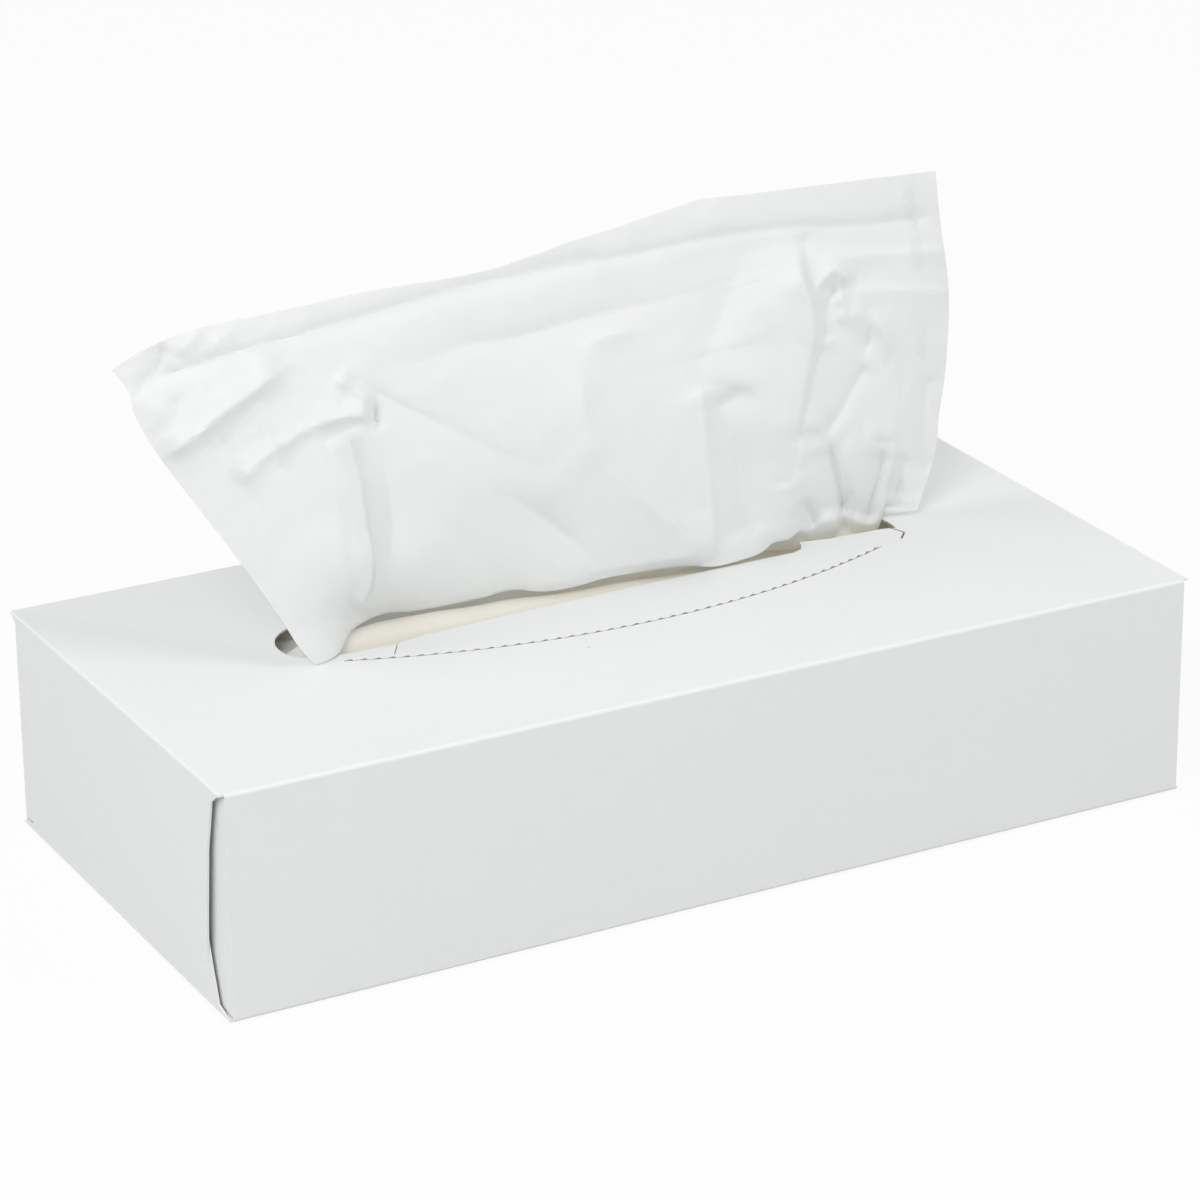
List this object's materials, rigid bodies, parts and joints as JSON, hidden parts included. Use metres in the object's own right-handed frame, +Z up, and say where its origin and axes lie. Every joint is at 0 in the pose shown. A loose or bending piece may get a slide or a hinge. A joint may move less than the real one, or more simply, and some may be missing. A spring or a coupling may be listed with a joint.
{
  "type": "tissue box",
  "caption": "Low rectangular tissue carton with a torn oval slot in its top, dispensing interfolded facial tissues, with one pulled up and standing.",
  "frame": {"origin": "centre of the carton's underside, on the surface that it stands on", "axes": "+X along the carton's length, +Y to its back, away from the torn strip of the slot, +Z up"},
  "size_m": [0.23, 0.11, 0.1308],
  "materials": {
    "board": "matt white coated board",
    "tissue": "soft white two-ply tissue"
  },
  "bodies": {
    "root": {"carton": "board", "pulled_tissue": "tissue", "next_tissue": "tissue", "tissue_stack": "tissue"}
  },
  "joints": []
}
